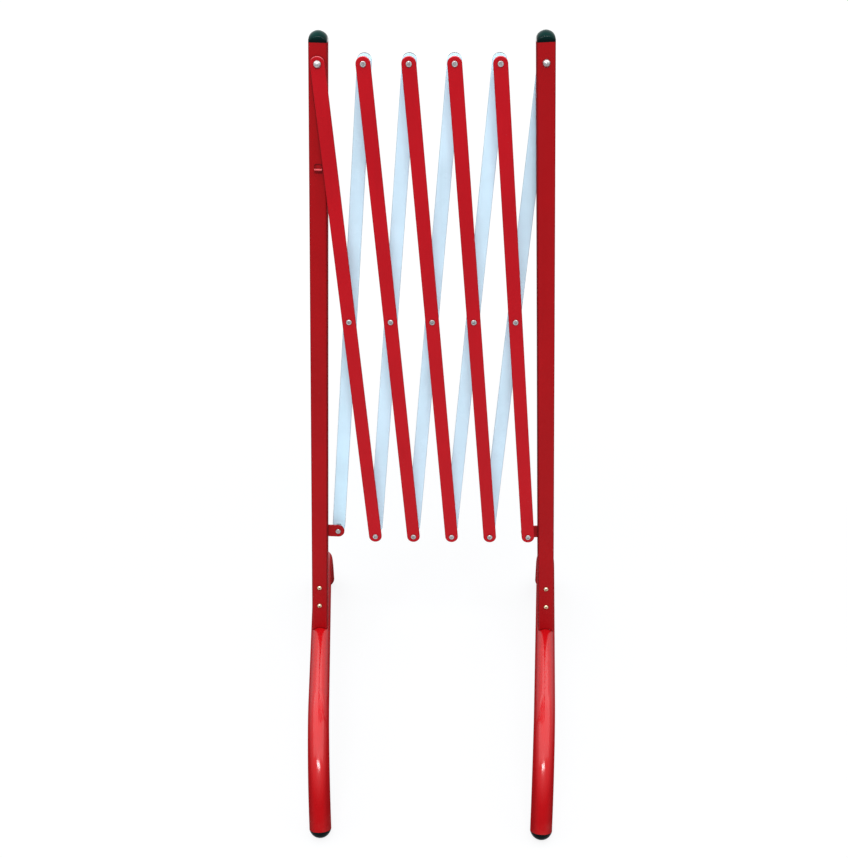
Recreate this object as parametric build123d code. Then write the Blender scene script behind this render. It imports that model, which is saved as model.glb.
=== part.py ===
from build123d import *
import os
from math import asin, cos, degrees, radians, sin, sqrt, tan

# Expandable lattice barrier, folded. Millimetres. +X runs along the barrier, +Z is up,
# and the front, with the red bars, faces -Y. The origin is on the floor, midway between the posts.

# Lattice: bars cross in the middle and meet their neighbours at both ends.
CELL_COUNT = 5
CELL_WIDTH = 60.5
PIVOT_SPAN = 728.0
TOP_PIVOT_HEIGHT = 1047.0
BAR_WIDTH = 20.0
BAR_THICKNESS = 4.0
BAR_EDGE_ROUND = 1.2
OPEN_HALF_ANGLE = 45.0

# Square posts, which stand between the front and the rear layer of bars.
POST_WIDTH = 25.0
POST_WALL = 1.5
POST_CORNER = 3.0
POST_ABOVE_PIVOT = 26.5
POST_COPE = 6.0

# Domed plug in the top end of a post: outlines of its dome, from a square to nearly a round one, each
# with its share of the dome's height, its share of the post's width and its corner's share of its own.
TOP_CAP_HEIGHT = 14.2
TOP_CAP_RIM = 2.8
TOP_CAP_OUTLINES = (
    (0.0, 1.0, 0.12), (0.27, 0.965, 0.28), (0.60, 0.82, 0.43), (0.87, 0.50, 0.48), (1.0, 0.14, 0.49))
TOP_CAP_SHANK = 16.0
TOP_CAP_WALL = 2.0

# Arched feet of round tube, which turn in a little at the front.
FOOT_TUBE = 32.0
FOOT_WALL = 2.0
FOOT_CROWN_HEIGHT = 142.0
FOOT_HALF_SPREAD = 331.0
FOOT_END_TILT = 22.0
FOOT_END_STRAIGHT = 20.0
FOOT_TOE_IN = 4.5

# Domed plugs in the ends of the feet.
FOOT_CAP_DOME = 13.0
FOOT_CAP_SHANK = 16.0
FOOT_CAP_FLAT = 1.0

# Spigot on the crown of a foot, which ends under the sliding shoe, and the two screws that hold the
# post to it, each at a share of the spigot's length.
SPIGOT_BELOW_SHOE = 20.0
SPIGOT_WALL = 2.5
SCREW_DIAMETER = 5.0
SCREW_LENGTH = 10.0
SCREW_HEAD = 7.2
SCREW_HEAD_HEIGHT = 2.8
SCREW_HEAD_ROUND = 2.2
SCREW_CROSS_LENGTH = 4.0
SCREW_CROSS_WIDTH = 1.0
SCREW_CROSS_DEPTH = 1.3
SCREW_SHARES = (0.33, 0.56)

# Semi-tubular rivets at the pivots of the bars.
RIVET_SHANK = 5.0
RIVET_HEAD = 8.0
RIVET_HEAD_HEIGHT = 1.6
RIVET_TAIL = 7.6
RIVET_TAIL_HEIGHT = 1.4
RIVET_DIMPLE = 3.8
RIVET_DIMPLE_DEPTH = 0.9
RIVET_BORE = 3.0
RIVET_BORE_DEPTH = 3.0
SPACER_OUTER = 9.0

# Dome-headed bolts at the tops of the posts.
BOLT_SHANK = 6.0
BOLT_HEAD = 10.5
BOLT_HEAD_HEIGHT = 4.2
NUT_ACROSS_FLATS = 10.0
NUT_HEIGHT = 6.0
NUT_COLLAR = 8.6
NUT_COLLAR_HEIGHT = 1.6
BOLT_OUT_OF_NUT = 1.0
WASHER_OUTER = 14.0
WASHER_THICKNESS = 1.0

# Lug that carries an end bar's lower pivot, and the shoe that guides it in the post.
LUG_REACH = 29.0
LUG_HEIGHT = 20.0
LUG_THICKNESS = 3.0
LUG_IN_SHOE = 9.0
SHOE_WIDTH = 12.0
SHOE_HEIGHT = 30.0
SHOE_CORNER = 1.5
SLOT_END_ROOM = 3.0

# Stop that the first red bar closes against: a sheet behind a window in the left post's front wall,
# with a shelf that stands out through the window.
STOP_BELOW_PIVOT = 142.5
STOP_WIDTH = 11.0
STOP_HEIGHT = 9.0
STOP_SHEET = 2.0
STOP_SHELF = 5.0
STOP_CORNER = 3.0
STOP_OVERLAP = 2.5
STOP_LIP_ROUND = 0.6

# Clearances.
RUNNING_GAP = 0.2
SEAT_GAP = 0.3
SLOT_GAP = 0.5
TONGUE_GAP = 0.1

# Worked-out places of the lattice.
LATTICE_WIDTH = CELL_COUNT * CELL_WIDTH
HALF_ANGLE = degrees(asin(CELL_WIDTH / PIVOT_SPAN))
PIVOT_DROP = PIVOT_SPAN * cos(radians(HALF_ANGLE))
OPEN_DROP = PIVOT_SPAN * cos(radians(OPEN_HALF_ANGLE))
POST_LEAN = degrees(asin(LUG_REACH / PIVOT_DROP))
LAYER_INNER = POST_WIDTH / 2 + WASHER_THICKNESS
LAYER_OUTER = LAYER_INNER + BAR_THICKNESS

# Worked-out places of the feet.
FOOT_CENTRE_HEIGHT = FOOT_CROWN_HEIGHT - FOOT_TUBE / 2
FOOT_CAP_BALL = (FOOT_TUBE ** 2 / 4 + FOOT_CAP_DOME ** 2) / (2 * FOOT_CAP_DOME)
FOOT_CAP_INSET = (FOOT_CAP_BALL - FOOT_CAP_DOME) * cos(radians(FOOT_END_TILT))
FOOT_END_HEIGHT = FOOT_CAP_BALL - FOOT_CAP_INSET - FOOT_CAP_FLAT
FOOT_END_RISE = FOOT_END_STRAIGHT * cos(radians(FOOT_END_TILT))
FOOT_END_INSET = FOOT_END_STRAIGHT * sin(radians(FOOT_END_TILT))
FOOT_BEND_RISE = FOOT_CENTRE_HEIGHT - FOOT_END_HEIGHT - FOOT_END_RISE
FOOT_BEND = FOOT_BEND_RISE / (1 - sin(radians(FOOT_END_TILT)))
FOOT_HALF_RUN = FOOT_HALF_SPREAD - FOOT_END_INSET - FOOT_BEND * cos(radians(FOOT_END_TILT))
FOOT_X = LATTICE_WIDTH / 2 + (TOP_PIVOT_HEIGHT - FOOT_CROWN_HEIGHT) * tan(radians(POST_LEAN))

# Worked-out sizes of the posts and of what runs in them.
POST_INSIDE = POST_WIDTH - 2 * POST_WALL
POST_BELOW_PIVOT = (TOP_PIVOT_HEIGHT - FOOT_CROWN_HEIGHT + POST_COPE) / cos(radians(POST_LEAN))
LUG_DROP = PIVOT_DROP * cos(radians(POST_LEAN))
LUG_OPEN_DROP = OPEN_DROP * cos(radians(POST_LEAN))
SHOE_FACE = POST_INSIDE / 2 - SEAT_GAP
LUG_TONGUE = LUG_REACH - SHOE_FACE + LUG_IN_SHOE
SPIGOT_LENGTH = POST_BELOW_PIVOT - LUG_DROP - SHOE_HEIGHT / 2 - SPIGOT_BELOW_SHOE
SCREW_PLACES = [share * SPIGOT_LENGTH - POST_BELOW_PIVOT for share in SCREW_SHARES]

solids = {}


def facing_front(shape, y=0.0):
    """Turn a shape built along +Z so that its +Z side looks to the front, and set its base at y."""
    return Pos(0, y, 0) * Rot(90, 0, 0) * shape


def at_left_post(shape):
    """Set a shape built about a post's top pivot on the leaning left post."""
    return Pos(-LATTICE_WIDTH / 2, 0, TOP_PIVOT_HEIGHT) * Rot(0, POST_LEAN, 0) * shape


def at_right_post(shape):
    """Set the mirror image of a shape built about a post's top pivot on the right post."""
    return mirror(at_left_post(shape), about=Plane.YZ)


def at_left_foot(shape):
    """Set a shape built about the middle of a foot, on the floor, under the left post."""
    return Pos(-FOOT_X, 0, 0) * Rot(0, 0, FOOT_TOE_IN) * shape


def upper_pivot(index):
    """Place of an upper pivot, counted from the left post."""
    return Pos(index * CELL_WIDTH - LATTICE_WIDTH / 2, 0, TOP_PIVOT_HEIGHT)


def middle_pivot(index):
    """Place where the bars of a cell cross, counted from 1 at the left."""
    return Pos((index - 0.5) * CELL_WIDTH - LATTICE_WIDTH / 2, 0, TOP_PIVOT_HEIGHT - PIVOT_DROP / 2)


def lower_pivot(index):
    """Place of a lower pivot, counted from the left post's lug."""
    return Pos(index * CELL_WIDTH - LATTICE_WIDTH / 2, 0, TOP_PIVOT_HEIGHT - PIVOT_DROP)


def bored_rod(diameter, height):
    """Plain rod that stands on the build plane, used to bore holes and for shanks."""
    return Cylinder(diameter / 2, height, align=(Align.CENTER, Align.CENTER, Align.MIN))


def rounded_square(width, corner, height):
    """Square block with rounded upright edges, standing on the build plane."""
    return extrude(RectangleRounded(width, width, corner), amount=height)


def flat_bar(top_pin, bottom_pin):
    """Lattice bar upright about its middle hole, front face at y = 0, with a hole for each pin."""
    blank = extrude(SlotCenterToCenter(PIVOT_SPAN, BAR_WIDTH, rotation=90), amount=BAR_THICKNESS)
    faces = blank.faces().filter_by(Axis.Z)
    blank = fillet(faces.edges(), BAR_EDGE_ROUND)
    for place, pin in ((PIVOT_SPAN / 2, top_pin), (0, RIVET_SHANK), (-PIVOT_SPAN / 2, bottom_pin)):
        blank -= Pos(0, place, 0) * bored_rod(pin + 2 * RUNNING_GAP, BAR_THICKNESS)
    return facing_front(blank, BAR_THICKNESS)


def rivet(front, rear):
    """Semi-tubular rivet from its head at y = front to its rolled tail at y = rear."""
    grip = rear - front
    head = bored_rod(RIVET_HEAD, RIVET_HEAD_HEIGHT)
    head = fillet(head.faces().sort_by(Axis.Z)[-1].edges(), RIVET_HEAD_HEIGHT / 2)
    head -= Pos(0, 0, RIVET_HEAD_HEIGHT - RIVET_DIMPLE_DEPTH) * bored_rod(RIVET_DIMPLE, RIVET_DIMPLE_DEPTH)
    shank = Pos(0, 0, -grip) * bored_rod(RIVET_SHANK, grip)
    tail = bored_rod(RIVET_TAIL, RIVET_TAIL_HEIGHT)
    tail = fillet(tail.faces().sort_by(Axis.Z)[0].edges(), RIVET_TAIL_HEIGHT / 2)
    body = head + shank + Pos(0, 0, -grip - RIVET_TAIL_HEIGHT) * tail
    body -= Pos(0, 0, -grip - RIVET_TAIL_HEIGHT) * bored_rod(RIVET_BORE, RIVET_BORE_DEPTH)
    return facing_front(body, front)


def spacer(front, rear):
    """Tube on a rivet's shank that keeps two layers apart."""
    length = rear - front
    tube = bored_rod(SPACER_OUTER, length) - bored_rod(RIVET_SHANK + 2 * RUNNING_GAP, length)
    return facing_front(tube, rear)


def top_bolt(front, rear):
    """Dome-headed bolt whose head bears at y = front and whose nut bears at y = rear."""
    cap_radius = (BOLT_HEAD ** 2 / 4 + BOLT_HEAD_HEIGHT ** 2) / (2 * BOLT_HEAD_HEIGHT)
    ball = Pos(0, 0, BOLT_HEAD_HEIGHT - cap_radius) * Sphere(cap_radius)
    head = ball & bored_rod(BOLT_HEAD, BOLT_HEAD_HEIGHT)
    length = rear - front + NUT_HEIGHT + NUT_COLLAR_HEIGHT + BOLT_OUT_OF_NUT
    return facing_front(head + Pos(0, 0, -length) * bored_rod(BOLT_SHANK, length), front)


def lock_nut(front):
    """Hexagon nut with a locking collar, whose bearing face is at y = front."""
    corner_radius = NUT_ACROSS_FLATS / sqrt(3)
    nut = Pos(0, 0, -NUT_HEIGHT) * extrude(RegularPolygon(corner_radius, 6), amount=NUT_HEIGHT)
    collar = bored_rod(NUT_COLLAR, NUT_COLLAR_HEIGHT)
    collar = fillet(collar.faces().sort_by(Axis.Z)[0].edges(), NUT_COLLAR_HEIGHT / 2)
    nut += Pos(0, 0, -NUT_HEIGHT - NUT_COLLAR_HEIGHT) * collar
    reach = NUT_HEIGHT + NUT_COLLAR_HEIGHT
    nut -= Pos(0, 0, -reach) * bored_rod(BOLT_SHANK + 2 * RUNNING_GAP, reach)
    return facing_front(nut, front)


def washer(front):
    """Washer of a top bolt, a running gap thinner than its space, with its front face at y = front."""
    thickness = WASHER_THICKNESS - RUNNING_GAP
    ring = bored_rod(WASHER_OUTER, thickness) - bored_rod(BOLT_SHANK + 2 * RUNNING_GAP, thickness)
    return facing_front(ring, front + thickness)


def post():
    """Square tube about its top pivot, with a slot in its inner wall, which is its +X side."""
    length = POST_ABOVE_PIVOT + POST_BELOW_PIVOT
    inside_corner = POST_CORNER - POST_WALL
    tube = rounded_square(POST_WIDTH, POST_CORNER, length)
    tube -= rounded_square(POST_INSIDE, inside_corner, length)
    tube = Pos(0, 0, -POST_BELOW_PIVOT) * tube
    tube -= Rot(90, 0, 0) * Cylinder(BOLT_SHANK / 2 + RUNNING_GAP, POST_WIDTH)
    slot_width = LUG_THICKNESS + 2 * SLOT_GAP
    slot_length = LUG_DROP - LUG_OPEN_DROP + LUG_HEIGHT + 2 * SLOT_END_ROOM
    slot_middle = -(LUG_DROP + LUG_OPEN_DROP) / 2
    slot = extrude(Plane.YZ * SlotOverall(slot_length, slot_width, rotation=90), amount=2 * POST_WALL)
    tube -= Pos(POST_WIDTH / 2 - 2 * POST_WALL, 0, slot_middle) * slot
    for place in SCREW_PLACES:
        bore = facing_front(bored_rod(SCREW_DIAMETER + 2 * RUNNING_GAP, POST_WIDTH / 2))
        tube -= Pos(0, 0, place) * bore
    return tube


def top_cap():
    """Domed plug about the post's top pivot, with a hollow shank in the post."""
    outlines = []
    for height, width, corner in TOP_CAP_OUTLINES:
        size = width * POST_WIDTH
        level = TOP_CAP_RIM + height * (TOP_CAP_HEIGHT - TOP_CAP_RIM)
        outlines.append(Pos(0, 0, level) * RectangleRounded(size, size, corner * size))
    dome = rounded_square(POST_WIDTH, POST_CORNER, TOP_CAP_RIM) + loft(outlines)
    shank_width = POST_INSIDE - 2 * RUNNING_GAP
    shank = rounded_square(shank_width, POST_CORNER - POST_WALL, TOP_CAP_SHANK)
    hollow_width = shank_width - 2 * TOP_CAP_WALL
    shank -= extrude(Rectangle(hollow_width, hollow_width), amount=TOP_CAP_SHANK)
    return Pos(0, 0, POST_ABOVE_PIVOT) * (dome + Pos(0, 0, -TOP_CAP_SHANK) * shank)


def foot():
    """Arched tube about the middle of the foot, running from front to rear over the floor."""
    turn = 90 - FOOT_END_TILT
    bend_end = (FOOT_HALF_SPREAD - FOOT_END_INSET, FOOT_END_HEIGHT + FOOT_END_RISE)
    with BuildLine(Plane.YZ) as path:
        rise = Line((FOOT_HALF_SPREAD, FOOT_END_HEIGHT), bend_end)
        rear = JernArc(start=rise @ 1, tangent=rise % 1, radius=FOOT_BEND, arc_size=turn)
        run = Line(rear @ 1, (-FOOT_HALF_RUN, FOOT_CENTRE_HEIGHT))
        front = JernArc(start=run @ 1, tangent=run % 1, radius=FOOT_BEND, arc_size=turn)
        Line(front @ 1, (-FOOT_HALF_SPREAD, FOOT_END_HEIGHT))
    ring = Circle(FOOT_TUBE / 2) - Circle(FOOT_TUBE / 2 - FOOT_WALL)
    start = Plane(path.wire() @ 0, z_dir=path.wire() % 0)
    return sweep(start * ring, path=path.wire())


def foot_cap(side):
    """Domed plug in the rear (side = 1) or front (side = -1) end of a foot, cut flat where it stands."""
    ball = Pos(0, 0, FOOT_CAP_BALL - FOOT_CAP_DOME) * Sphere(FOOT_CAP_BALL)
    dome = ball & (Pos(0, 0, -FOOT_CAP_DOME) * bored_rod(FOOT_TUBE, FOOT_CAP_DOME))
    shank_size = FOOT_TUBE - 2 * FOOT_WALL - 2 * RUNNING_GAP
    plug = dome + bored_rod(shank_size, FOOT_CAP_SHANK)
    place = Pos(0, side * FOOT_HALF_SPREAD, FOOT_END_HEIGHT) * Rot(side * FOOT_END_TILT, 0, 0)
    floor = Pos(0, side * FOOT_HALF_SPREAD, 0) * Box(
        2 * FOOT_TUBE, 2 * FOOT_TUBE, FOOT_CAP_DOME, align=(Align.CENTER, Align.CENTER, Align.MAX))
    return place * plug - floor


def crown_cutter(gap):
    """Rod along the crown of the left foot, wider than its tube by the gap all round."""
    rod = Rot(90, 0, 0) * Cylinder(FOOT_TUBE / 2 + gap, 2 * FOOT_HALF_RUN)
    return at_left_foot(Pos(0, 0, FOOT_CENTRE_HEIGHT) * rod)


def spigot():
    """Square tube that stands on the crown and fills the post's lower end."""
    width = POST_INSIDE - 2 * SEAT_GAP
    tube = rounded_square(width, POST_CORNER - POST_WALL, SPIGOT_LENGTH)
    tube -= rounded_square(width - 2 * SPIGOT_WALL, SPIGOT_WALL / 2, SPIGOT_LENGTH)
    tube = Pos(0, 0, -POST_BELOW_PIVOT) * tube
    for place in SCREW_PLACES:
        bore = facing_front(bored_rod(SCREW_DIAMETER + 2 * RUNNING_GAP, POST_WIDTH / 2))
        tube -= Pos(0, 0, place) * bore
    return tube


def foot_screw():
    """Round-headed screw with a cross recess, whose head bears on the front of a post."""
    head = bored_rod(SCREW_HEAD, SCREW_HEAD_HEIGHT)
    head = fillet(head.faces().sort_by(Axis.Z)[-1].edges(), SCREW_HEAD_ROUND)
    across = Rectangle(SCREW_CROSS_LENGTH, SCREW_CROSS_WIDTH)
    upright = Rectangle(SCREW_CROSS_WIDTH, SCREW_CROSS_LENGTH)
    recess = extrude(across + upright, amount=SCREW_CROSS_DEPTH)
    head -= Pos(0, 0, SCREW_HEAD_HEIGHT - SCREW_CROSS_DEPTH) * recess
    screw = head + Pos(0, 0, -SCREW_LENGTH) * bored_rod(SCREW_DIAMETER, SCREW_LENGTH)
    return facing_front(screw, -POST_WIDTH / 2)


def lug():
    """Plate with a round end about its pivot and a tongue that goes through the slot into the shoe."""
    tongue = Pos(-LUG_TONGUE / 2, 0) * Rectangle(LUG_TONGUE, LUG_HEIGHT)
    outline = tongue + Circle(LUG_HEIGHT / 2) - Circle(RIVET_SHANK / 2 + RUNNING_GAP)
    plate = facing_front(extrude(outline, amount=LUG_THICKNESS), LUG_THICKNESS / 2)
    return Pos(LUG_REACH, 0, -LUG_DROP) * plate


def shoe():
    """Block that slides in the post, with a slit that the lug's tongue is set in."""
    depth = POST_INSIDE - 2 * SEAT_GAP
    block = Box(SHOE_WIDTH, depth, SHOE_HEIGHT, align=(Align.MAX, Align.CENTER, Align.CENTER))
    block = fillet(block.edges(), SHOE_CORNER)
    block -= Box(LUG_IN_SHOE + TONGUE_GAP, LUG_THICKNESS + 2 * TONGUE_GAP, LUG_HEIGHT + 2 * TONGUE_GAP,
                 align=(Align.MAX, Align.CENTER, Align.CENTER))
    return Pos(SHOE_FACE, 0, -LUG_DROP) * block


def at_stop(shape):
    """Set a shape built about the window's lower edge on a post's front, beside the folded red bar."""
    drop = STOP_BELOW_PIVOT - STOP_HEIGHT
    slant = radians(HALF_ANGLE + POST_LEAN)
    bar_side = drop * tan(slant) - BAR_WIDTH / 2 / cos(slant)
    return Pos(bar_side - SEAT_GAP - STOP_WIDTH / 2, -POST_WIDTH / 2, -STOP_BELOW_PIVOT) * shape


def stop_window():
    """Window in a post's front wall, with rounded upper corners."""
    window = Box(STOP_WIDTH, POST_WALL, STOP_HEIGHT, align=(Align.CENTER, Align.MIN, Align.MIN))
    top_corners = window.edges().filter_by(Axis.Y).group_by(Axis.Z)[-1]
    return at_stop(fillet(top_corners, STOP_CORNER))


def fold_stop():
    """Sheet behind the window, with a shelf at its foot that stands out through the window."""
    width = STOP_WIDTH + 2 * STOP_OVERLAP
    height = STOP_HEIGHT + 2 * STOP_OVERLAP
    sheet = Box(width, STOP_SHEET, height, align=(Align.CENTER, Align.MIN, Align.MIN))
    sheet = Pos(0, POST_WALL, -STOP_OVERLAP) * sheet
    depth = STOP_SHELF + POST_WALL
    shelf = Box(STOP_WIDTH - 2 * RUNNING_GAP, depth, STOP_SHEET, align=(Align.CENTER, Align.MAX, Align.MIN))
    lip = shelf.faces().sort_by(Axis.Y)[0]
    shelf = fillet(lip.edges(), STOP_LIP_ROUND)
    return at_stop(sheet + Pos(0, POST_WALL, RUNNING_GAP) * shelf)


# Left post with its foot and everything fixed to it.
solids["left_post"] = at_left_post(post()) - crown_cutter(SEAT_GAP)
solids["left_top_cap"] = at_left_post(top_cap())
solids["left_spigot"] = at_left_post(spigot()) - crown_cutter(RUNNING_GAP)
solids["left_foot_screws"] = Compound(
    [at_left_post(Pos(0, 0, place) * foot_screw()) for place in SCREW_PLACES])
solids["left_foot"] = at_left_foot(foot())
solids["left_front_foot_cap"] = at_left_foot(foot_cap(-1))
solids["left_rear_foot_cap"] = at_left_foot(foot_cap(1))
solids["fold_stop"] = at_left_post(fold_stop())

# Right post, the mirror image without the stop and its window.
for piece in ("post", "top_cap", "spigot", "foot_screws", "foot", "front_foot_cap", "rear_foot_cap"):
    solids["right_" + piece] = mirror(solids["left_" + piece], about=Plane.YZ)
solids["left_post"] -= at_left_post(stop_window())

# Top bolts: the left one carries the first red bar, the right one the last white bar.
left_end = upper_pivot(0)
right_end = upper_pivot(CELL_COUNT)
solids["left_top_bolt"] = left_end * top_bolt(-LAYER_OUTER - RUNNING_GAP, POST_WIDTH / 2)
solids["left_top_nut"] = left_end * lock_nut(POST_WIDTH / 2)
solids["left_top_washer"] = left_end * washer(-LAYER_INNER + RUNNING_GAP)
solids["right_top_bolt"] = right_end * top_bolt(-POST_WIDTH / 2, LAYER_OUTER + RUNNING_GAP)
solids["right_top_nut"] = right_end * lock_nut(LAYER_OUTER + RUNNING_GAP)
solids["right_top_washer"] = right_end * washer(POST_WIDTH / 2)

# Bars, with the rivets and spacers that each red bar carries.
for cell in range(1, CELL_COUNT + 1):
    first = cell == 1
    last = cell == CELL_COUNT
    red_top = BOLT_SHANK if first else RIVET_SHANK
    white_top = BOLT_SHANK if last else RIVET_SHANK
    centre = middle_pivot(cell)
    solids[f"red_bar_{cell}"] = centre * Pos(0, -LAYER_OUTER, 0) * Rot(0, -HALF_ANGLE, 0) * flat_bar(
        red_top, RIVET_SHANK)
    solids[f"white_bar_{cell}"] = centre * Pos(0, LAYER_INNER, 0) * Rot(0, HALF_ANGLE, 0) * flat_bar(
        white_top, RIVET_SHANK)
    pivots = [centre]
    if not first:
        pivots.append(upper_pivot(cell - 1))
    if not last:
        pivots.append(lower_pivot(cell))
    solids[f"red_bar_{cell}_rivets"] = Compound(
        [pivot * rivet(-LAYER_OUTER, LAYER_OUTER + RUNNING_GAP) for pivot in pivots])
    solids[f"red_bar_{cell}_spacers"] = Compound(
        [pivot * spacer(-LAYER_INNER, LAYER_INNER - RUNNING_GAP) for pivot in pivots])

# Sliding lugs at the lower ends of the end bars.
left_low = lower_pivot(0)
right_low = lower_pivot(CELL_COUNT)
solids["left_lug"] = at_left_post(lug())
solids["left_shoe"] = at_left_post(shoe())
solids["left_lug_rivet"] = left_low * rivet(-LUG_THICKNESS / 2, LAYER_OUTER + RUNNING_GAP)
solids["left_lug_spacer"] = left_low * spacer(LUG_THICKNESS / 2, LAYER_INNER - RUNNING_GAP)
solids["right_lug"] = at_right_post(lug())
solids["right_shoe"] = at_right_post(shoe())
solids["right_lug_rivet"] = right_low * rivet(-LAYER_OUTER - RUNNING_GAP, LUG_THICKNESS / 2)
solids["right_lug_spacer"] = right_low * spacer(-LAYER_INNER + RUNNING_GAP, -LUG_THICKNESS / 2)

os.makedirs("parts", exist_ok=True)
for name, shape in solids.items():
    export_step(shape, os.path.join("parts", name + ".step"))
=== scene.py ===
from math import cos, radians, sin

import bpy
from mathutils import Matrix, Vector

# Looks of the folded expandable barrier: enamelled lattice, posts and feet, plated rivets and bolts,
# dark moulded plugs. Metres, in the CAD model's frame: +X along the barrier, -Y the front, +Z up.

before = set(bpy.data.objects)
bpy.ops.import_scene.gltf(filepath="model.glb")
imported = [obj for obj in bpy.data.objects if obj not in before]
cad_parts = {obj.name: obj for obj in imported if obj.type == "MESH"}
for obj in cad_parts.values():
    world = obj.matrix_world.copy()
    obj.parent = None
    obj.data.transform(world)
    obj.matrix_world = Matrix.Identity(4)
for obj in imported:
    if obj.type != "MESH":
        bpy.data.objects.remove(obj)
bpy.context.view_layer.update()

# Camera, fitted to the photograph. Angles are in degrees and the sensor is in millimetres.
PICTURE_WIDTH = 848
FOCAL_PIXELS = 1181.4
SENSOR_WIDTH = 36.0
FAR_CLIP = 100.0
CAMERA_PLACE = (0.0181, -1.6261, 1.2984)
CAMERA_PITCH = 26.050
CAMERA_YAW = -1.094
CAMERA_ROLL = -0.288

# Linear colours.
WHITE = (1.0, 1.0, 1.0)
POST_RED = (0.328, 0.001, 0.003)
STOP_RED = (0.320, 0.002, 0.005)
BAR_RED = (0.425, 0.003, 0.008)
FOOT_RED = (0.412, 0.002, 0.004)
BAR_WHITE = (0.64, 0.88, 0.99)
# Painted highlights for faces turned up, and a painted shade for the white bars' tops.
PAINTED_HIGHLIGHT_RED = (0.62, 0.16, 0.18)
PAINTED_HIGHLIGHT_STOP = (0.74, 0.13, 0.14)
PAINTED_SHADE_RIM = (0.035, 0.040, 0.045)
PRIMER_GREY = (0.16, 0.15, 0.15)
BARE_STEEL = (0.42, 0.41, 0.40)
ZINC = (0.44, 0.42, 0.41)
ZINC_SPANGLE = (0.74, 0.76, 0.80)
YELLOW_ZINC = (0.80, 0.70, 0.46)
YELLOW_SPANGLE = (0.70, 0.62, 0.46)
PLUG_GREEN = (0.001, 0.025, 0.021)
NYLON_BLACK = (0.030, 0.030, 0.032)
ROAD_DUST = (0.42, 0.38, 0.33)
# Painted shade colour for crevices of plating.
CREVICE_SHADE_DARK = (0.045, 0.038, 0.034)
# Painted shade colour for plastic below a seam's height.
SEAM_SHADE = (0.001, 0.004, 0.004)
FLOOR_PALE = (0.46, 0.46, 0.46)
WALL_BLUE = (0.736, 0.842, 1.0)

# Strengths of the walls' light and of the white that the floor shows.
WALL_LEVEL = 0.60
FLOOR_LEVEL = 1.04

# Rays that each shading point sends out to find edges and crevices.
PROBE_RAYS = 6


class Value:
    """A socket of a node, on which sums are written as plain expressions."""

    def __init__(self, nodes, socket):
        self.nodes = nodes
        self.socket = socket

    def maths(self, operation, first, second):
        return self.nodes.node("ShaderNodeMath", {"operation": operation}, {0: first, 1: second})

    def larger(self, other):
        return self.maths("MAXIMUM", self, other)

    def __abs__(self):
        return self.maths("ABSOLUTE", self, 0)

    def __add__(self, other):
        return self.maths("ADD", self, other)

    def __radd__(self, other):
        return self.maths("ADD", other, self)

    def __sub__(self, other):
        return self.maths("SUBTRACT", self, other)

    def __rsub__(self, other):
        return self.maths("SUBTRACT", other, self)

    def __mul__(self, other):
        return self.maths("MULTIPLY", self, other)

    def __rmul__(self, other):
        return self.maths("MULTIPLY", other, self)


class Nodes:
    """The node tree of a material or world, whose nodes are added by a single method."""

    def __init__(self, tree):
        self.tree = tree
        self.tree.nodes.clear()

    def node(self, kind, settings=None, values=None, out=0):
        """Add a node, set it up, then give its sockets their values or links."""
        made = self.tree.nodes.new(kind)
        for key, setting in (settings or {}).items():
            setattr(made, key, setting)
        for key, value in (values or {}).items():
            if isinstance(value, Value):
                self.tree.links.new(value.socket, made.inputs[key])
            else:
                made.inputs[key].default_value = value
        return Value(self, made.outputs[out]) if made.outputs else None

    def ray(self, kind):
        """1 for rays of this kind and 0 for others."""
        return self.node("ShaderNodeLightPath", out=kind)


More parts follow.
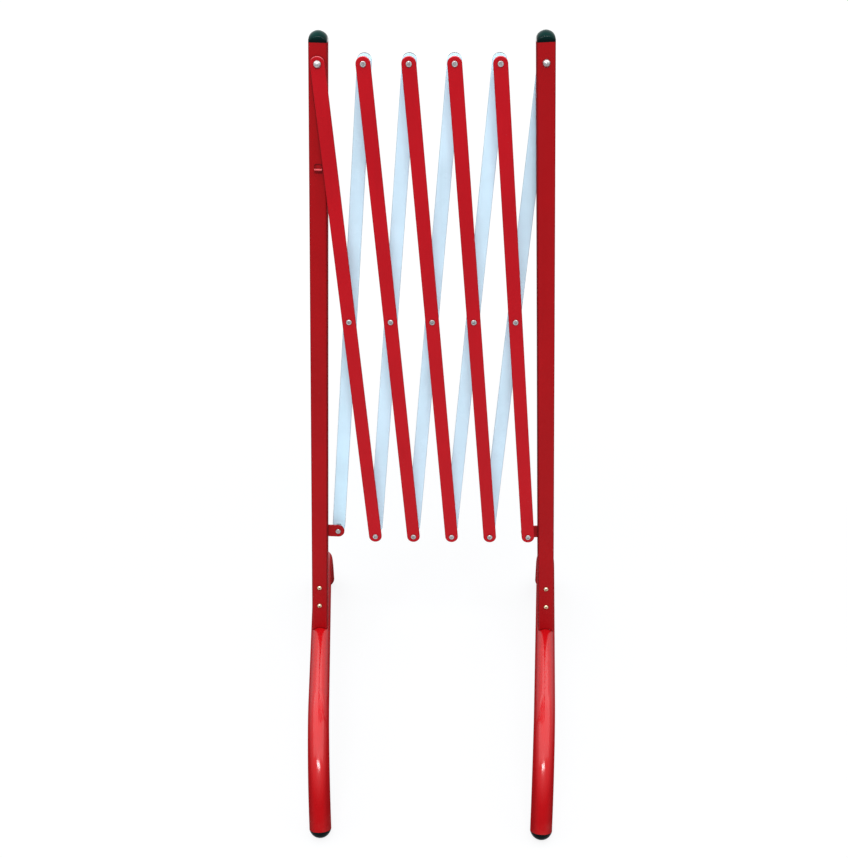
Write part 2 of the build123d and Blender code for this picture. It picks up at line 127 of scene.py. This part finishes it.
class Finish(Nodes):
    """One material, with the patterns that its looks are made of."""

    def __init__(self, name):
        self.material = bpy.data.materials.new(name)
        self.material.use_nodes = True
        super().__init__(self.material.node_tree)
        self.places = self.node("ShaderNodeTexCoord", out="Object")

    def stretched(self, scale):
        """Object coordinates, drawn out by a different scale along each axis."""
        return self.node("ShaderNodeMapping", None, {"Vector": self.places, "Scale": scale})

    def noise(self, scale, detail=3.0, roughness=0.55, places=None):
        """Cloudy pattern, from 0 to 1."""
        values = {
            "Vector": places or self.places, "Scale": scale,
            "Detail": detail, "Roughness": roughness}
        return self.node("ShaderNodeTexNoise", None, values)

    def cells(self, scale, out="Distance"):
        """Pattern of cells: the distance from each cell's centre, or a colour for each cell."""
        return self.node("ShaderNodeTexVoronoi", None, {"Vector": self.places, "Scale": scale}, out)

    def step(self, value, none_at, all_at):
        """Smooth step from 0 at one value to 1 at another, which may be the lower one."""
        settings = {"interpolation_type": "SMOOTHSTEP"}
        return self.node("ShaderNodeMapRange", settings, {0: value, 1: none_at, 2: all_at})

    def mix(self, factor, first, second):
        """Colour that goes from the first to the second as the factor goes from 0 to 1."""
        settings = {"data_type": "RGBA", "blend_type": "MIX", "clamp_factor": True}
        under, over = [tone if isinstance(tone, Value) else (*tone, 1) for tone in (first, second)]
        # The node has sockets for each kind of data: 0 is the factor, 6 and 7 and output 2 are colours.
        return self.node("ShaderNodeMix", settings, {0: factor, 6: under, 7: over}, out=2)

    def edges(self, width):
        """1 on an edge or corner, falling to 0 at about this distance from it."""
        soft = self.node("ShaderNodeBevel", {"samples": PROBE_RAYS}, {"Radius": width})
        true = self.node("ShaderNodeNewGeometry", out="Normal")
        settings = {"operation": "DOT_PRODUCT"}
        along = self.node("ShaderNodeVectorMath", settings, {0: soft, 1: true}, out="Value")
        return self.step(1 - along, none_at=0.02, all_at=0.22)

    def openness(self, reach):
        """1 in the open, falling towards 0 in a corner or a gap of about this reach."""
        settings = {"samples": PROBE_RAYS}
        return self.node("ShaderNodeAmbientOcclusion", settings, {"Distance": reach}, out="AO")

    def height(self):
        """Height over the floor in the rest pose."""
        return self.node("ShaderNodeSeparateXYZ", None, {0: self.places}, out="Z")

    def facing(self, axis):
        """How far the surface faces along an axis of the rest pose, from -1 to 1."""
        normal = self.node("ShaderNodeTexCoord", out="Normal")
        return self.node("ShaderNodeSeparateXYZ", None, {0: normal}, out=axis)

    def bump(self, height, strength, distance):
        """Normals of a surface with this height pattern."""
        values = {"Height": height, "Strength": strength, "Distance": distance}
        return self.node("ShaderNodeBump", None, values)

    def close(self, shader):
        """Show this shader on the surface and finish the material."""
        self.node("ShaderNodeOutputMaterial", None, {"Surface": shader})
        return self.material


def shade(colour, level):
    """A colour made darker or lighter."""
    return tuple(min(1.0, level * tone) for tone in colour)


# Enamel: levels of its tones, shares of the marks and painted shade on it, what these add to its
# roughness, its relief.
DEEP_LEVEL = 0.91
SHADE_AND_THIN_LEVEL = 0.30
STREAK_STRETCH = (1.0, 1.0, 0.06)
STREAK_SHARE = 0.10
SIDE_SHADE_SHARE = 0.50
PAINT_EDGE = 0.0020
RUBBED_SHARE = 0.25
CREVICE_SHADE_REACH = 0.003
CREVICE_SHADE_SHARE = 0.7
CHIP_START = 0.70
CHIP_END = 0.76
SPECK_SHARE = 0.7
LOW_SHARE = 0.30
SMEAR_DULLING = 0.10
SIDE_DULLING = 0.70
RUBBED_DULLING = 0.18
BARE_DULLING = 0.22
DUST_DULLING = 0.5
COARSE_PEEL = 0.6
FINE_PEEL = 0.4
CHIP_DEPTH = 0.9
LACQUER_ROUGHNESS = 0.13
PAINT_IOR = 1.5


def enamel(name, colour, rough_level, shine, wear, dust,
           top_light_and_shade=PAINTED_HIGHLIGHT_RED, top_light_and_shade_share=0.0, edge_shade=0.45, lacquer=0.0):
    """Gloss enamel on steel: mottled and streaked, painted shade and duller on its sides, painted shade,
    rubbed patches and chips on edges, painted shade in crevices, darker and dusty low down. Where it
    faces up, it takes a lacquer and the top colour: a painted highlight, on white a painted shade."""
    finish = Finish(name)
    deep = shade(colour, DEEP_LEVEL)
    # A darker tone for streaks, rubbed wear and the lowest part, and as painted shade on sides, edges
    # and in crevices.
    shade_and_thin = shade(colour, SHADE_AND_THIN_LEVEL)

    mottle = finish.noise(scale=9.0, detail=4.0)
    paint = finish.mix(finish.step(mottle, none_at=0.35, all_at=0.70), deep, colour)
    streaks = finish.noise(scale=60.0, roughness=0.6, places=finish.stretched(STREAK_STRETCH))
    paint = finish.mix(finish.step(streaks, none_at=0.55, all_at=0.80) * STREAK_SHARE, paint, shade_and_thin)
    # Painted shade: surfaces that face along X, to the left and right, are darker.
    sides = finish.step(abs(finish.facing("X")), none_at=0.30, all_at=0.90)
    paint = finish.mix(sides * SIDE_SHADE_SHARE, paint, shade_and_thin)

    edge = finish.edges(PAINT_EDGE)
    patches = finish.noise(scale=140.0, detail=5.0, roughness=0.65)
    rubbed = edge * finish.step(patches, none_at=0.38, all_at=0.62)
    # Painted shade: a dark line along every edge, darkened further by rubbed patches of wear.
    paint = finish.mix(edge * edge_shade + rubbed * RUBBED_SHARE, paint, shade_and_thin)
    # Painted shade in crevices and narrow gaps, where ambient occlusion finds them.
    crevice_shade = finish.step(finish.openness(CREVICE_SHADE_REACH), none_at=0.92, all_at=0.50)
    paint = finish.mix(crevice_shade * CREVICE_SHADE_SHARE, paint, shade_and_thin)
    # Faces turned up take the top colour: a painted highlight on the reds, a painted shade on the white
    # bars.
    upward = finish.facing("Z")
    paint = finish.mix(finish.step(upward, none_at=0.30, all_at=0.70) * top_light_and_shade_share, paint, top_light_and_shade)

    chipped = edge * finish.step(patches, none_at=CHIP_START - wear, all_at=CHIP_END - wear)
    specks = finish.step(finish.cells(scale=210.0), none_at=0.075, all_at=0.045)
    specks = specks * finish.step(finish.noise(scale=17.0), none_at=0.58, all_at=0.66)
    bare = chipped.larger(specks * SPECK_SHARE)
    steel = finish.mix(finish.step(patches, none_at=0.5, all_at=0.7), PRIMER_GREY, BARE_STEEL)
    paint = finish.mix(bare, paint, steel)

    height = finish.height()
    paint = finish.mix(finish.step(height, none_at=0.11, all_at=0.05) * LOW_SHARE, paint, shade_and_thin)
    splashes = finish.step(finish.noise(scale=38.0, detail=5.0), none_at=0.42, all_at=0.72)
    dusty = finish.step(height, none_at=0.05, all_at=0.0) * splashes
    paint = finish.mix(dusty * dust, paint, ROAD_DUST)

    smears = finish.noise(scale=24.0, detail=4.0, roughness=0.6)
    rough = rough_level + finish.step(smears, none_at=0.45, all_at=0.75) * SMEAR_DULLING
    rough = rough + sides * SIDE_DULLING + rubbed * RUBBED_DULLING
    rough = rough + bare * BARE_DULLING + dusty * (DUST_DULLING * dust)
    peel = finish.noise(scale=520.0, detail=2.0) * COARSE_PEEL
    peel = peel + finish.noise(scale=1400.0, detail=1.0) * FINE_PEEL
    relief = finish.bump(peel - bare * CHIP_DEPTH, strength=0.02, distance=0.0003)
    polished = finish.step(upward, none_at=0.45, all_at=0.75) * lacquer
    return finish.close(finish.node("ShaderNodeBsdfPrincipled", None, {
        "Base Color": paint, "Roughness": rough, "Normal": relief, "Coat Weight": polished,
        "Coat Roughness": LACQUER_ROUGHNESS, "IOR": PAINT_IOR, "Specular IOR Level": shine}))


# Plating: levels of its tones, shares of the marks and painted shade on it, what these add to its
# roughness, its relief.
STAIN_LEVEL = 0.42
WORN_LEVEL = 1.25
SPANGLE_SHARE = 0.5
STAIN_SHARE = 0.45
PLATED_SHADE_REACH = 0.0025
PLATED_SHADE_SHARE = 0.8
PLATED_EDGE = 0.0006
WORN_SHARE = 0.5
SPANGLE_DULLING = 0.10
STAIN_DULLING = 0.16
WORN_SHINE = 0.08
SCRATCH_STRETCH = (1.0, 1.0, 0.15)
SCRATCH_DEPTH = 0.6
SPANGLE_DEPTH = 0.25


def plated(name, colour, tint, rough_level):
    """Bright plating: small crystals, dull stains, painted shade in crevices, bright edges, fine
    scratches.
    """
    finish = Finish(name)
    spangle = finish.cells(scale=700.0, out="Color")
    facet = finish.node("ShaderNodeSeparateColor", None, {0: spangle})
    stain = finish.step(finish.noise(scale=190.0, detail=4.0), none_at=0.46, all_at=0.68)
    metal = finish.mix(facet * SPANGLE_SHARE, colour, tint)
    metal = finish.mix(stain * STAIN_SHARE, metal, shade(colour, STAIN_LEVEL))
    # Painted shade in crevices and narrow gaps, where ambient occlusion finds them.
    crevice_shade = finish.step(finish.openness(PLATED_SHADE_REACH), none_at=0.85, all_at=0.35)
    metal = finish.mix(crevice_shade * PLATED_SHADE_SHARE, metal, CREVICE_SHADE_DARK)
    worn = finish.edges(PLATED_EDGE)
    metal = finish.mix(worn * WORN_SHARE, metal, shade(colour, WORN_LEVEL))

    rough = rough_level + facet * SPANGLE_DULLING + stain * STAIN_DULLING - worn * WORN_SHINE
    scratches = finish.noise(scale=900.0, roughness=0.7, places=finish.stretched(SCRATCH_STRETCH))
    pattern = scratches * SCRATCH_DEPTH + facet * SPANGLE_DEPTH
    relief = finish.bump(pattern, strength=0.20, distance=0.0002)
    return finish.close(finish.node("ShaderNodeBsdfPrincipled", None, {
        "Base Color": metal, "Metallic": 1.0, "Roughness": rough, "Normal": relief}))


# Plastic: levels of its tones, shares of the marks and painted shade on it, what these add to its
# roughness, its relief.
FLOW_LEVEL = 0.7
SCUFF_LEVEL = 1.5
SCUFF_GREY = 0.02
PLASTIC_EDGE = 0.0012
SCUFF_STRETCH = (1.0, 0.12, 1.0)
SCRAPE_SHARE = 0.4
SCUFF_SHARE = 0.3
TOP_SEAM_HEIGHT = 1.0745
SEAM_FADE = 0.0095
SEAM_SHADE_SHARE = 0.95
FLOW_DULLING = 0.08
SCUFF_DULLING = 0.25
FLOW_DEPTH = 0.3
SCUFF_DEPTH = 0.3
PLASTIC_IOR = 1.5
PLASTIC_SHINE = 0.04


def moulded(name, colour, rough_level, grain, seam=0.0):
    """Moulded plastic: fine spark texture, flow mottling, paler scuffs on edges, painted dark shade
    below a seam's height over the floor."""
    finish = Finish(name)
    pale = tuple(SCUFF_GREY + SCUFF_LEVEL * tone for tone in colour)
    flow = finish.noise(scale=70.0, detail=4.0, roughness=0.6)
    mottle = finish.step(flow, none_at=0.35, all_at=0.72)
    plastic = finish.mix(mottle, shade(colour, FLOW_LEVEL), colour)
    patches = finish.step(finish.noise(scale=260.0, detail=4.0), none_at=0.46, all_at=0.66)
    drawn = finish.noise(scale=420.0, roughness=0.7, places=finish.stretched(SCUFF_STRETCH))
    scrapes = finish.step(drawn, none_at=0.66, all_at=0.74)
    worn = (finish.edges(PLASTIC_EDGE) * patches).larger(scrapes * SCRAPE_SHARE)
    plastic = finish.mix(worn * SCUFF_SHARE, plastic, pale)
    # Painted shade: near black below the seam's height, on the top caps' lower rims and on everything
    # lower.
    below = finish.step(finish.height(), none_at=seam + SEAM_FADE, all_at=seam)
    plastic = finish.mix(below * SEAM_SHADE_SHARE, plastic, SEAM_SHADE)

    dull = finish.step(flow, none_at=0.4, all_at=0.7)
    rough = rough_level + dull * FLOW_DULLING + worn * SCUFF_DULLING
    spark = finish.noise(scale=1800.0, detail=2.0) * grain
    spark = spark + finish.noise(scale=90.0, detail=2.0) * FLOW_DEPTH
    relief = finish.bump(spark - worn * SCUFF_DEPTH, strength=0.05, distance=0.0002)
    return finish.close(finish.node("ShaderNodeBsdfPrincipled", None, {
        "Base Color": plastic, "Roughness": rough, "Normal": relief,
        "IOR": PLASTIC_IOR, "Specular IOR Level": PLASTIC_SHINE}))


# By plain names, since Blender may number a material's own name where the CAD model has one like it.
finishes = {
    "post_enamel": enamel("post_enamel", POST_RED, rough_level=0.44, shine=0.15, wear=0.06, dust=0.10),
    "stop_enamel": enamel(
        "stop_enamel", STOP_RED, rough_level=0.30, shine=0.18, wear=0.04, dust=0.10,
        top_light_and_shade=PAINTED_HIGHLIGHT_STOP, top_light_and_shade_share=0.9),
    "red_bar_enamel": enamel(
        "red_bar_enamel", BAR_RED, rough_level=0.36, shine=0.15, wear=0.08, dust=0.10,
        top_light_and_shade_share=0.6),
    "foot_enamel": enamel(
        "foot_enamel", FOOT_RED, rough_level=0.30, shine=0.08, wear=0.06, dust=0.06,
        lacquer=0.56),
    "white_bar_enamel": enamel(
        "white_bar_enamel", BAR_WHITE, rough_level=0.24, shine=0.25, wear=0.08, dust=0.10,
        top_light_and_shade=PAINTED_SHADE_RIM, top_light_and_shade_share=1.0, edge_shade=0.8),
    "bright_zinc": plated("bright_zinc", ZINC, ZINC_SPANGLE, rough_level=0.26),
    "yellow_zinc": plated("yellow_zinc", YELLOW_ZINC, YELLOW_SPANGLE, rough_level=0.24),
    "plug_plastic": moulded(
        "plug_plastic", PLUG_GREEN, rough_level=0.10, grain=0.2, seam=TOP_SEAM_HEIGHT),
    "shoe_nylon": moulded("shoe_nylon", NYLON_BLACK, rough_level=0.48, grain=1.0),
}

PLATED_PIECES = ("_rivets", "_spacers", "_rivet", "_spacer", "_bolt", "_nut", "_washer", "_spigot")


def finish_of(node):
    """The finish that a CAD node gets, by what the piece is."""
    if node.endswith(PLATED_PIECES):
        return "bright_zinc"
    if node.endswith("foot_screws"):
        return "yellow_zinc"
    if node.endswith("_cap"):
        return "plug_plastic"
    if node.endswith("_shoe"):
        return "shoe_nylon"
    if node.endswith("_foot"):
        return "foot_enamel"
    if node == "fold_stop":
        return "stop_enamel"
    if node.startswith("white_bar"):
        return "white_bar_enamel"
    if node.startswith("red_bar"):
        return "red_bar_enamel"
    return "post_enamel"


for node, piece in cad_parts.items():
    for place in piece.material_slots:
        place.material = finishes[finish_of(node)]

# Floor: half its side, and the least share of white that it shows to the camera.
FLOOR_REACH = 30.0
NEAR_WHITE = 0.80


def pale_floor():
    """Wide pale floor, which shows nearly white to the camera, keeps a faint shadow of the barrier, and
    turns white in reflections far from it."""
    mesh = bpy.data.meshes.new("floor")
    sides = ((-1, -1), (1, -1), (1, 1), (-1, 1))
    corners = [(FLOOR_REACH * x, FLOOR_REACH * y, 0) for x, y in sides]
    mesh.from_pydata(corners, [], [(0, 1, 2, 3)])
    floor = bpy.data.objects.new("floor", mesh)
    bpy.context.scene.collection.objects.link(floor)

    finish = Finish("floor_white")
    matt = finish.node("ShaderNodeBsdfDiffuse", None, {"Color": (*FLOOR_PALE, 1)})
    white = finish.node("ShaderNodeEmission", None, {"Color": (*WHITE, 1), "Strength": FLOOR_LEVEL})
    away = finish.node("ShaderNodeVectorMath", {"operation": "LENGTH"}, {0: finish.places}, out="Value")
    seen = NEAR_WHITE + finish.step(away, none_at=0.5, all_at=2.2) * (1 - NEAR_WHITE)
    mirrored = finish.ray("Is Glossy Ray").larger(finish.ray("Is Transmission Ray"))
    far_mirrored = mirrored * finish.step(away, none_at=2.5, all_at=8.0)
    whiteness = finish.ray("Is Camera Ray") * seen + far_mirrored
    shown = finish.node("ShaderNodeMixShader", None, {0: whiteness, 1: matt, 2: white})
    mesh.materials.append(finish.close(shown))


def studio_world():
    """Even bluish studio walls, which show white to the camera and in reflections."""
    world = bpy.data.worlds.new("studio")
    world.use_nodes = True
    nodes = Nodes(world.node_tree)
    wall_light = {"Color": (*WALL_BLUE, 1), "Strength": WALL_LEVEL}
    walls = nodes.node("ShaderNodeBackground", None, wall_light)
    white = nodes.node("ShaderNodeBackground", None, {"Color": (*WHITE, 1)})
    mirrored = nodes.ray("Is Glossy Ray").larger(nodes.ray("Is Transmission Ray"))
    seen = nodes.ray("Is Camera Ray").larger(mirrored)
    shown = nodes.node("ShaderNodeMixShader", None, {0: seen, 1: walls, 2: white})
    nodes.node("ShaderNodeOutputWorld", None, {"Surface": shown})
    bpy.context.scene.world = world


def soft_lamp(name, place, aim, size, watts, spread=180):
    """Rectangular studio lamp at a place, turned to its aim, with the spread of its light in degrees."""
    light = bpy.data.lights.new(name, "AREA")
    light.shape = "RECTANGLE"
    light.size, light.size_y = size
    light.energy = watts
    light.spread = radians(spread)
    lamp = bpy.data.objects.new(name, light)
    lamp.location = place
    lamp.rotation_euler = (Vector(aim) - Vector(place)).to_track_quat("-Z", "Y").to_euler()
    bpy.context.scene.collection.objects.link(lamp)


def photo_camera():
    """Camera at the photograph's place and angle."""
    pitch, yaw, roll = radians(CAMERA_PITCH), radians(CAMERA_YAW), radians(CAMERA_ROLL)
    forward = Vector((sin(yaw) * cos(pitch), cos(yaw) * cos(pitch), -sin(pitch)))
    level = Vector((cos(yaw), -sin(yaw), 0))
    upright = level.cross(forward)
    right = level * cos(roll) + upright * sin(roll)
    up = upright * cos(roll) - level * sin(roll)
    data = bpy.data.cameras.new("photo_camera")
    data.sensor_fit = "HORIZONTAL"
    data.sensor_width = SENSOR_WIDTH
    data.lens = FOCAL_PIXELS * SENSOR_WIDTH / PICTURE_WIDTH
    data.clip_end = FAR_CLIP
    camera = bpy.data.objects.new("photo_camera", data)
    turn = Matrix((right, up, -forward)).transposed().to_4x4()
    camera.matrix_world = Matrix.Translation(CAMERA_PLACE) @ turn
    bpy.context.scene.collection.objects.link(camera)
    bpy.context.scene.camera = camera


pale_floor()
studio_world()
soft_lamp("ceiling", place=(0, 0.9, 2.4), aim=(0, 0.9, 0), size=(6.0, 4.6), watts=160)
soft_lamp("softbox", place=(-0.05, -2.3, 3.0), aim=(0, -0.6, 0), size=(2.0, 0.36), watts=20, spread=76)
photo_camera()
bpy.context.scene.view_settings.view_transform = "Standard"
